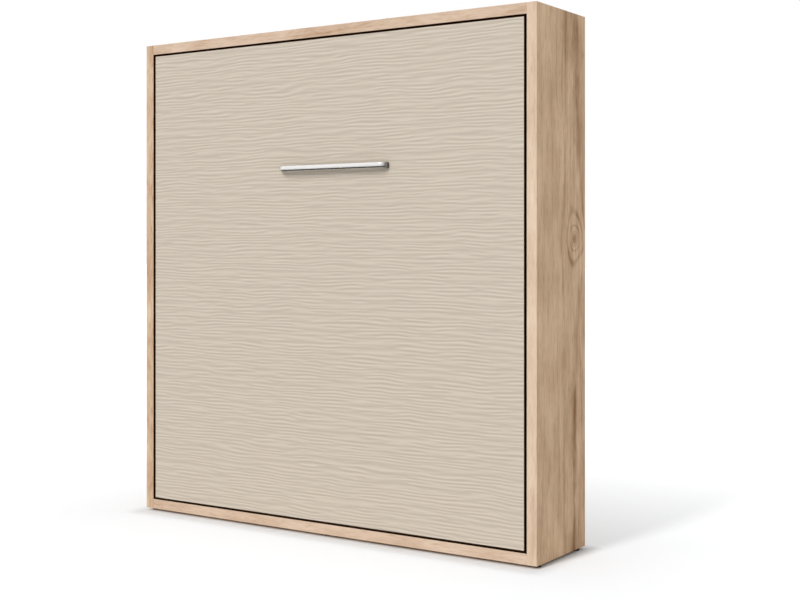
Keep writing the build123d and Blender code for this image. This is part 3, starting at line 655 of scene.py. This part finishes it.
# %% Fasteners on their places
SCREW = {"Head": 4.6 * mm, "Rise": 2.6 * mm, "Shank": 2.4 * mm, "Slot": 1.1 * mm, "Slot Depth": 1.5 * mm}
CAM = {"Head": 7.5 * mm, "Rise": 12.5 * mm, "Shank": 2 * mm, "Slot": 2 * mm, "Slot Depth": 2.5 * mm}
CAM["Reach"] = 0.1 * mm  # a cam lock is all head
mid_height = sum(corner[2] for corner in cad_box) / 2
WAYS = {  # which way a fastener faces, from where it is
    "middle": lambda spot: (-math.copysign(1, spot.x), 0, 0),
    "sides": lambda spot: (math.copysign(1, spot.x), 0, 0),
    "wall": lambda spot: (0, 1, 0),
    "inside": lambda spot: (0, 0, -math.copysign(1, spot.z - mid_height)),
}
fasteners = fastener_tree()
for name, body, way, sizes in (
    ("pivot_plate_screws", "cabinet", "middle", SCREW), ("wall_bracket_screws", "cabinet", "inside", SCREW),
    ("hinge_plate_screws", "bed", "sides", SCREW), ("bow_bracket_screws", "bed", "sides", SCREW),
    ("batten_screws", "bed", "wall", SCREW), ("handle_screws", "bed", "wall", SCREW),
    ("cam_locks", "cabinet", "inside", CAM),
):
    places, length = head_places(name, WAYS[way])
    values = {"Reach": length - sizes["Rise"], **sizes, "Material": zinc}
    settle(grow("cross_head_" + name, fasteners, values, places), body, "zinc_steel", name)

# %% [markdown]
# ## Slatted base
#
# Sprung slats are glued from thin birch veneers in a curved press, and the plies show along their edges.
# An arc node gives the bow, a section swept along it gives the slat, and a line of points sets out the row.
# The section stores how deep each point lies, so the material can draw the plies. Pine carries the slats.

# %% Wood for the base
def plain_wood(name, pale, deep, along, width, length):
    """Planed, unvarnished timber with straight fibres along one axis, at the given width and length."""
    made, add, shader, place = start_material(name)
    scale = [1 / width] * 3
    scale["XYZ".index(along)] = 1 / length
    drawn = add("Mapping", {"Vector": place, "Scale": tuple(scale)})
    fibre = add("TexNoise", {"Vector": drawn, "Scale": 1.0, "Detail": 4.0})
    tone = add("MapRange", [fibre, 0.35, 0.7])
    colour = add("Mix.RGBA", [tone, pale, deep])
    bump = add("Bump", {"Height": fibre, "Strength": 0.2, "Distance": 0.3 * mm})
    feed(shader, {"Base Color": colour, "Normal": bump, "Roughness": 0.6})
    return made, add, shader, colour


# Planed pine: warm and matt, with darker fibres. Pressed birch: paler, with dark glue lines on its edges.
for name, along, dressed in (
    ("planed_pine_across", "X", ["panel_battens"]),
    ("planed_pine_upright", "Z", ["centre_beam", "left_slat_ledger", "right_slat_ledger"]),
):
    dress(plain_wood(name, "#E2C596", "#C69C63", along, 7 * mm, 300 * mm)[0], *dressed)
PLIES = 7
birch, add, shader, colour = plain_wood("laminated_birch", "#E4C99B", "#D0AC78", "X", 4 * mm, 180 * mm)
depth = add("Attribute", attribute_name="ply", out="Fac")
count = add("Math.MULTIPLY", [depth, PLIES / 2])
swing = add("Math.PINGPONG", [count, 0.5])
glue = add("MapRange", [swing, 0.38, 0.5, 0.0, 0.7])
plies = add("Mix.RGBA", [glue, colour, "#8E6437"])
feed(shader, {"Base Color": plies})
print("pine and birch ready")


# %% Slat rows
def slat_tree():
    tree, add, size = start_tree("slat_row", {
        "Start": 0.0, "End": 0.9, "Seat": 0.0, "Crown": 0.01, "First": 0.0, "Step": 0.1, "Count": 14,
        "Width": 0.07, "Thickness": 0.008,
    })
    total = add("Math.ADD", [size["Start"], size["End"]])
    middle = add("Math.MULTIPLY", [total, 0.5])
    top = add("Math.ADD", [size["Seat"], size["Crown"]])
    arc = add("CurveArc.POINTS", {
        "Resolution": 24, "Start": add("CombineXYZ", [size["Start"], size["Seat"]]),
        "Middle": add("CombineXYZ", [middle, top]), "End": add("CombineXYZ", [size["End"], size["Seat"]]),
    })
    arc = add("SetCurveNormal.Z_UP", [arc])
    section = add("CurvePrimitiveQuadrilateral", {"Width": size["Thickness"], "Height": size["Width"]})
    section = add("FilletCurve.POLY", {"Curve": section, "Count": 3, "Radius": 1.6 * mm})
    spot = add("InputPosition")
    side = add("SeparateXYZ", [spot], out="X")
    share = add("Math.DIVIDE", [side, size["Thickness"]])
    section = add("StoreNamedAttribute", {0: section, "Name": "ply", "Value": share})
    slat = add("CurveToMesh", {"Curve": arc, "Profile Curve": section, "Fill Caps": True})
    row = add("MeshLine", {
        "Count": size["Count"], "Start Location": add("CombineXYZ", {2: size["First"]}),
        "Offset": add("CombineXYZ", {2: size["Step"]}),
    })
    placed = add("InstanceOnPoints", {"Points": row, "Instance": slat})
    return end_tree(tree, size, placed)


SLATS, SLAT_WIDTH, SLAT_THICK = 14, 68 * mm, 8 * mm
slat_row = slat_tree()
for side in ("left", "right"):
    low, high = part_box(side + "_slats")
    first, last = low.z + SLAT_WIDTH / 2, high.z - SLAT_WIDTH / 2
    slats = grow(side + "_slats_laminated", slat_row, {
        "Start": low.x, "End": high.x, "Seat": low.y + SLAT_THICK / 2, "Crown": high.y - low.y - SLAT_THICK,
        "First": first, "Step": (last - first) / (SLATS - 1), "Count": SLATS, "Width": SLAT_WIDTH,
        "Thickness": SLAT_THICK, "Material": birch,
    })
    settle(slats, "bed", "plywood", side + "_slats")

# %% [markdown]
# ## Mattress
#
# The mattress is a quilted knit cover over foam: its top is sewn in diamonds, its border in rows, and a
# round tape closes the edges. Sewing holds the cover down and the wadding swells it between the seams, so
# the mesh is made the same way. A grid bends to the rounded outline ring by ring, with its points on the
# seams. Then a cloth simulation pins the seams, lets a light pressure swell the rest, and a cap keeps each
# point's move within the room that the solid leaves. Each point also keeps how deep in a seam it lies, for
# the painted shade in the seams.

# %% Mattress sizes
pad_low, pad_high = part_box("mattress")
TAPE = 5 * mm  # radius of the round tape along the edges
EASE = 26 * mm  # curve from the top to the border
CORNER = 66 * mm  # rounding seen from above
QUILT = 150 * mm  # from one seam to the next, across the bed
QUILT_DEPTH = 12 * mm
QUILT_FROM, QUILT_OVER = 8 * mm, 40 * mm  # plain border, and the width over which the quilting deepens
CROWN, ROW_CROWN = 0.45, 0.6  # under 1 makes a crown full and its seam narrow
CELL = QUILT / 8  # so that seams run through corners of the grid
ROWS = 3  # sewn rows round the border
ROW_DEPTH = 4.5 * mm
LEVELS = 6 * ROWS
middle = (pad_low + pad_high) / 2
half_x, half_z = [(pad_high[i] - pad_low[i]) / 2 - TAPE for i in (0, 2)]
top_y, base_y = pad_high.y - 0.5 * mm, pad_low.y + 0.5 * mm


def grid_lines(half):
    """Places from one border to the other, close together where the edge curves over."""
    inner = half - EASE
    steps = math.floor(inner / CELL - 0.4)
    even = [CELL * i for i in range(-steps, steps + 1)]
    curve = [inner + EASE * math.sin(math.radians(angle)) for angle in (0, 22.5, 45, 67.5, 90)]
    return np.array([-place for place in reversed(curve)] + even + curve)


def round_corners(x, z):
    """Bends the corners of a rectangular grid to arcs, ring by ring, and gives each point's inset."""
    inset = np.minimum(half_x - abs(x), half_z - abs(z))
    radius = np.maximum(CORNER - inset, 1e-6)
    tx = (abs(x) - half_x + CORNER) / radius
    tz = (abs(z) - half_z + CORNER) / radius
    bent = (tx > 0) & (tz > 0)
    angle = np.radians(np.where(tz >= tx, 90 - 45 * tx, 45 * tz))
    new_x = np.where(bent, np.sign(x) * (half_x - CORNER + radius * np.cos(angle)), x)
    new_z = np.where(bent, np.sign(z) * (half_z - CORNER + radius * np.sin(angle)), z)
    return new_x, new_z, inset


def diamonds(x, z, inset):
    """How near each point is to a diamond seam, from 0 to 1 on it, and how deep the quilting is there."""
    crown = abs(np.sin(math.pi * (x + z) / QUILT) * np.sin(math.pi * (x - z) / QUILT))
    held = np.clip((inset - QUILT_FROM) / QUILT_OVER, 0, 1)
    return (1 - crown ** CROWN) * held, held


# %% Mattress mesh
def mattress_mesh(swollen):
    """A closed shell of top, border rows and base, swollen by a share of its room, and its sewn points."""
    x, z, inset = round_corners(*np.meshgrid(grid_lines(half_x), grid_lines(half_z), indexing="ij"))
    drop = np.where(inset < EASE, EASE - np.sqrt(np.maximum(EASE ** 2 - (EASE - inset) ** 2, 0)), 0)
    seam, held = diamonds(x, z, inset)
    top = top_y - drop - QUILT_DEPTH * (held - swollen * (held - seam))
    base = base_y + drop
    index = np.arange(x.size).reshape(x.shape)
    ring = np.concatenate([index[:, 0], index[-1, 1:], index[-2::-1, -1], index[0, -2:0:-1]])
    rim_x, rim_z = x.ravel()[ring], z.ravel()[ring]
    out_x = rim_x - np.clip(rim_x, CORNER - half_x, half_x - CORNER)
    out_z = rim_z - np.clip(rim_z, CORNER - half_z, half_z - CORNER)
    reach = np.hypot(out_x, out_z)
    # Each layer: x, y and z of its points, how near to a seam, whether on the border, whether sewn down.
    layers = [(x, top, z, seam, 0.0, (seam > 0.98) | (inset < 1 * mm))]
    for level in range(1, LEVELS):
        share = level / LEVELS
        bulge = abs(math.sin(math.pi * ROWS * share)) ** ROW_CROWN
        sink = ROW_DEPTH * (1 - swollen * bulge) / reach
        y = (top_y - EASE) + (base_y - top_y + 2 * EASE) * share
        layers.append((rim_x - out_x * sink, y, rim_z - out_z * sink, 1 - bulge, 1.0, bulge < 0.01))
    layers.append((x, base, z, 0.0, 0.0, True))
    flat = [[np.broadcast_to(part, layer[0].shape).ravel() for part in layer] for layer in layers]
    xs, ys, zs, seams, borders, pins = map(np.concatenate, zip(*flat))
    quads = np.stack([index[:-1, :-1], index[:-1, 1:], index[1:, 1:], index[1:, :-1]], -1).reshape(-1, 4)
    last = x.size + len(ring) * (LEVELS - 1)
    between = np.arange(x.size, last).reshape(LEVELS - 1, len(ring))
    loops = [ring, *between, last + ring]
    faces = [quads, last + quads[:, ::-1]]
    for upper, lower in zip(loops, loops[1:]):
        faces.append(np.stack([upper, np.roll(upper, -1), np.roll(lower, -1), lower], -1))
    mesh = bpy.data.meshes.new("mattress_quilted")
    points = np.stack([xs + middle.x, ys, zs + middle.z], 1)
    mesh.from_pydata(points.tolist(), [], np.concatenate(faces).tolist())
    for label, values in (("seam", seams), ("border", borders)):
        mesh.attributes.new(label, "FLOAT", "POINT").data.foreach_set("value", values)
    work = bmesh.new()
    work.from_mesh(mesh)
    bmesh.ops.recalc_face_normals(work, faces=work.faces)
    work.to_mesh(mesh)
    work.free()
    mesh.shade_smooth()
    return mesh, pins


# %% Cloth simulation
SLACK_KNIT = {
    "quality": 4, "mass": 0.02, "tension_stiffness": 6, "compression_stiffness": 6, "shear_stiffness": 3,
    "bending_stiffness": 0.05, "shrink_min": -0.04, "use_pressure": True, "uniform_pressure_force": 4,
    "vertex_group_mass": "sewn",
}


def swell(piece, pins, frames, most):
    """Pressure swells the cover between its pinned seams, and no point moves further than the cap."""
    sewn = piece.vertex_groups.new(name="sewn")
    sewn.add([int(i) for i in np.flatnonzero(pins)], 1.0, "REPLACE")
    cover = piece.modifiers.new("cover", "CLOTH")
    for label, value in SLACK_KNIT.items():
        setattr(cover.settings, label, value)
    cover.settings.effector_weights.gravity = 0
    cover.collision_settings.use_collision = False
    cover.point_cache.frame_end = frames
    before = np.empty(3 * len(piece.data.vertices))
    after = before.copy()
    piece.data.vertices.foreach_get("co", before)
    for moment in range(1, frames + 1):
        bpy.context.scene.frame_set(moment)
    seen = piece.evaluated_get(bpy.context.evaluated_depsgraph_get())
    seen.data.vertices.foreach_get("co", after)
    moves = (after - before).reshape(-1, 3)
    reach = np.maximum(np.linalg.norm(moves, axis=1), 1e-9)
    print("mean move", reach.mean() / mm, "mm, largest", reach.max() / mm, "mm")
    spots = before.reshape(-1, 3) + moves * np.minimum(1, most / reach)[:, None]
    spots[:, 1] = np.minimum(spots[:, 1], top_y)
    piece.modifiers.clear()
    piece.vertex_groups.clear()
    bpy.context.scene.frame_set(1)
    piece.data.vertices.foreach_set("co", spots.ravel())
    piece.data.update()


# %% Knit cover
KNIT = 3.2 * mm  # real knit loops are about 1 mm: drawn this wide so that they show
# Knitted and quilted: matt white with a soft sheen, greyer on its border, with painted shade in its seams.
knit, add, shader, place = start_material("quilted_white_knit")
seam = add("Attribute", attribute_name="seam", out="Fac")
border = add("Attribute", attribute_name="border", out="Fac")
turned = add("Mapping", {"Vector": place, "Scale": (1 / KNIT, 1 / KNIT, 1 / KNIT)})
loops = add("TexVoronoi", {"Vector": turned, "Scale": 1.0}, out="Distance")
wide = add("TexNoise", {"Vector": place, "Scale": 9.0, "Detail": 3.0})
tone = add("MapRange", [wide, 0.3, 0.7])
cloth = add("Mix.RGBA", [tone, "#EDEBE6", "#E4E1DA"])
side = add("Mix.RGBA", [border, cloth, "#CFCDC8"])
# Painted shade: the cover is painted greyer the nearer a point lies to a seam.
sewn = add("MapRange", [seam, 0.6, 1.0, 0.0, 0.55])
colour = add("Mix.RGBA", [sewn, side, "#B9B6AF"])
bump = add("Bump", {"Height": loops, "Strength": 0.35, "Distance": 0.6 * mm}, invert=True)
feed(shader, {"Base Color": colour, "Normal": bump, "Roughness": 0.92, "Sheen Weight": 0.25})
cover_mesh, pins = mattress_mesh(swollen=0.3)
mattress = put("mattress_quilted", cover_mesh)
mattress.data.materials.append(knit)
swell(mattress, pins, frames=20, most=0.7 * QUILT_DEPTH)
mattress.modifiers.new("fine", "SUBSURF").levels = 1
bake(mattress)
settle(mattress, "bed", "mattress_cover", "mattress")

# %% [markdown]
# ## Edge tape and stitches
#
# A tape is sewn round the upper and lower edge of the cover. It is a round bar on a closed route, so the
# bent bar tree makes it. A second tree walks along the same route and lays one short thread at every step.

# %% Edge tape
# Woven cotton: matt, and a shade darker than the cover.
tape_cloth = hardware("woven_cotton_tape", "#D9D7D1", "#C9C6BF", 0.0, 0.85, 0.95, 1.5 * mm)


def border_route(y, out=0.0):
    """A closed route round the mattress at one height, moved outwards."""
    corners = ((-1, -1), (1, -1), (1, 1), (-1, 1), (-1, -1))
    return [(middle.x + a * (half_x + out), y, middle.z + b * (half_z + out)) for a, b in corners]


TAPE_HEIGHTS = top_y - EASE, base_y + EASE
tape = grow("mattress_edge_tape", free_bar, {
    "Bend": CORNER, "Bend Steps": 16, "Thickness": 1.9 * TAPE, "Height": 1.9 * TAPE,
    "Rounding": 0.9 * TAPE, "Round Steps": 4, "Material": tape_cloth,
}, route(*[border_route(y) for y in TAPE_HEIGHTS]))
settle(tape, "bed", "mattress_cover")


# %% Stitches along the tape
def stitch_tree():
    tree, add, size = start_tree("stitch_row", {
        "Bend": 0.05, "Bend Steps": 16, "Step": 0.01, "Length": 0.006, "Thread": 0.001,
    })
    bent = bent_route(add, size)
    spots = add("CurveToPoints.LENGTH", {"Curve": bent, "Length": size["Step"]}).node.outputs
    bead = add("MeshIcoSphere", {"Radius": 0.5, "Subdivisions": 1})
    shape = add("CombineXYZ", [size["Thread"], size["Thread"], size["Length"]])
    placed = add("InstanceOnPoints", {
        "Points": spots["Points"], "Instance": bead, "Rotation": spots["Rotation"], "Scale": shape,
    })
    return end_tree(tree, size, placed)


# Spun polyester: nearly white, with a trace of gloss.
thread = hardware("spun_polyester_thread", "#F2F0EB", "#E6E3DC", 0.0, 0.7, 0.85, 1.0 * mm)
BESIDE, PROUD = 1.15 * TAPE, 0.6 * mm  # from the tape's middle to its stitches, and out from the cover
seams = [border_route(y + way * BESIDE, PROUD) for y, way in zip(TAPE_HEIGHTS, (-1, 1))]
stitches = grow("mattress_tape_stitches", stitch_tree(), {
    "Bend": CORNER, "Bend Steps": 16, "Step": 10 * mm, "Length": 6.5 * mm, "Thread": 1.3 * mm,
    "Material": thread,
}, route(*seams))
settle(stitches, "bed", "mattress_cover")

# %% [markdown]
# ## Straps and sliders
#
# Two webbing straps keep the mattress and the bedding in place when the bed folds up. Webbing is woven
# flat, with ribs across it, so the strap is a thin bar swept along the route of the CAD strap and the ribs
# follow the stored distance along it. A slider of moulded plastic joins the strap and its loose end in the
# middle.

# %% Webbing
RIB = 2.6 * mm  # real ribs are about 1.2 mm apart: drawn wider so that they show
# Woven polyester: dark and dull, with ribs that catch the light.
webbing, add, shader, _ = start_material("woven_polyester_webbing")
along = add("Attribute", attribute_name="along", out="Fac")
across = add("Attribute", attribute_name="across", out="Fac")
twill = add("Math.MULTIPLY", [across, 1 / (3 * RIB)])
twill = add("Math.PINGPONG", [twill, 0.5])
count = add("Math.MULTIPLY_ADD", [along, 1 / RIB, twill])
rib = add("Math.PINGPONG", [count, 0.5])
tone = add("MapRange", [rib, 0.0, 0.5])
colour = add("Mix.RGBA", [tone, "#2B2C2F", "#4A4B50"])
bump = add("Bump", {"Height": rib, "Strength": 0.5, "Distance": 0.8 * mm})
feed(shader, {"Base Color": colour, "Normal": bump, "Roughness": 0.75, "Sheen Weight": 0.2})
print("webbing ribs every", RIB / mm, "mm")

# %% Straps
STRAP = 2 * mm
sliders = sorted(islands("strap_buckles"), key=lambda box: box[0].z)
for name, slider in zip(("head_strap", "foot_strap"), sliders):
    low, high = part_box(name)
    z = (low.z + high.z) / 2
    x, y = high.x - STRAP / 2, high.y - STRAP / 2
    over = y + 1.05 * STRAP
    lift = slider[1].y - STRAP / 2
    half = (slider[1].x - slider[0].x) / 2
    steps = ((-3, over), (-0.62, over), (-0.3, lift), (0.3, lift), (0.62, over), (2.2, over))
    tail = [(share * half, height, z) for share, height in steps]  # over the strap, up through the slider
    strap = grow(name + "_webbing", level_bar, {
        "Bend": 29 * mm, "Bend Steps": 10, "Thickness": STRAP, "Height": high.z - low.z,
        "Rounding": 0.9 * mm, "Round Steps": 2, "Material": webbing,
    }, route([(-x, low.y, z), (-x, y, z), (x, y, z), (x, low.y, z)]))
    settle(strap, "bed", "webbing", name)
    loose = grow(name + "_loose_end", level_bar, {
        "Bend": 7 * mm, "Bend Steps": 5, "Thickness": STRAP, "Height": 0.95 * (high.z - low.z),
        "Rounding": 0.9 * mm, "Round Steps": 2, "Material": webbing,
    }, route(tail))
    settle(loose, "bed", "webbing")

# %% Sliders
BAR = 6 * mm
paths = []
for low, high in sliders:
    y = (low.y + high.y) / 2 - 0.5 * mm
    x0, x1, z0, z1 = low.x + BAR / 2, high.x - BAR / 2, low.z + BAR / 2, high.z - BAR / 2
    paths.append([(x0, y, z0), (x1, y, z0), (x1, y, z1), (x0, y, z1), (x0, y, z0)])
    paths.append([(0, y, z0), (0, y, z1)])
frames = grow("strap_sliders", free_bar, {
    "Bend": 6 * mm, "Bend Steps": 6, "Thickness": BAR, "Height": BAR, "Rounding": 2 * mm, "Round Steps": 3,
    "Material": black_plastic,
}, route(*paths))
settle(frames, "bed", "black_plastic", "strap_buckles")

# %% [markdown]
# ## Floor, light and camera
#
# The studio is a plain white floor under soft light. Three broad suns, one above the other and a little
# to the left, light the front and leave the right side in shade, and the sky fills in. Metal needs
# something to mirror, so it sees a sky that is bright on one side and dim on the other, and a dark floor.
# The camera stands level, so upright edges stay parallel, and a small downward shift frames the bed.

# %% Floor and sky
def add_floor(under, share, white, bright, hug, far):
    """A matt floor that keeps the shadow by the bed and turns to plain white away from it.

    The share of plain white rises from under to share within hug metres, and to white at far metres.
    """
    mesh = bpy.data.meshes.new("studio_floor")
    reach = 60.0
    corners = [(-reach, -reach, 0), (reach, -reach, 0), (reach, reach, 0), (-reach, reach, 0)]
    mesh.from_pydata(corners, [], [(0, 1, 2, 3)])
    floor = put("studio_floor", mesh)
    made, add, shader, place = start_material("white_studio_floor")
    output = shader.outputs[0].links[0].to_node
    made.node_tree.nodes.remove(shader)
    rays = add("LightPath").node.outputs
    side = add("VectorMath.ABSOLUTE", [place])
    half = (cad_box[1][0], cad_box[1][1], 1.0)
    side = add("VectorMath.SUBTRACT", [side, half])
    side = add("VectorMath.MAXIMUM", [side, (0, 0, 0)])
    away = add("VectorMath.LENGTH", [side])
    close = add("MapRange", [away, 0.0, hug, under, share])
    wide = add("MapRange", [away, hug, far, 0.0, white - share])
    glow = add("Math.ADD", [close, wide])
    glow = add("Math.MULTIPLY", [glow, rays["Is Camera Ray"]])
    matt = add("BsdfDiffuse", {"Color": (0.89, 0.91, 0.935, 1)})
    plain = add("Emission", {"Color": (1, 1, 1, 1), "Strength": bright})
    both = add("MixShader", [glow, matt, plain])
    grey = add("Emission", {"Color": (1, 1, 1, 1), "Strength": 0.08})  # what metal sees below it
    both = add("MixShader", [rays["Is Glossy Ray"], both, grey])
    feed(output, {"Surface": both})
    mesh.materials.append(made)


def add_sky(fill, shown, dim, bright):
    """Even light from all round; metal sees it bright on the shown side and dim on the other."""
    sky = bpy.data.worlds.new("studio_sky")
    bpy.context.scene.world = sky
    sky.use_nodes = True
    sky.node_tree.nodes.clear()
    add = partial(add_node, sky.node_tree)
    rays = add("LightPath").node.outputs
    seen = add("Math.MAXIMUM", [rays["Is Camera Ray"], rays["Is Transmission Ray"]])
    way = add("TexCoord", out="Generated")
    facing = add("VectorMath.DOT_PRODUCT", [way, shown])
    gloss = add("MapRange", [facing, -0.3, 0.7, dim, bright])  # a broad, soft change
    level = add("Mix.FLOAT", [rays["Is Glossy Ray"], fill, gloss])
    level = add("Mix.FLOAT", [seen, level, 1.0])
    light = add("Background", {"Color": (1, 1, 1, 1), "Strength": level})
    add("OutputWorld", {"Surface": light})


def add_sun(name, towards, strength, spread):
    """A sun that shines one way; its spread in degrees softens the shadows."""
    data = bpy.data.lights.new(name, "SUN")
    data.energy, data.angle = strength, math.radians(spread)
    put(name, data).rotation_euler = Vector(towards).to_track_quat("-Z", "Y").to_euler()


add_floor(under=0.0, share=0.27, white=0.6, bright=1.5, hug=0.075, far=2.1)
add_sky(fill=0.54, shown=(-0.6, -0.75, 0.25), dim=0.38, bright=1.1)
for label, fall in (("low", 0.5), ("middle", 0.72), ("high", 1.0)):
    add_sun("front_sun_" + label, towards=(0.13, 1.0, -fall), strength=0.555, spread=8)
print("lights:", len(bpy.data.lights))

# %% Camera
eye = bpy.data.cameras.new("photo_camera")
eye.sensor_width = 36.0
eye.lens = 58.90
eye.shift_y = -0.0678
camera = put("photo_camera", eye)
camera.location = (3.3881, -4.6735, 1.2465)
camera.rotation_euler = (math.radians(90), 0, math.radians(33.68))
bpy.context.scene.camera = camera
bpy.context.scene.view_settings.view_transform = "Standard"
print("camera", eye.lens, "mm lens")
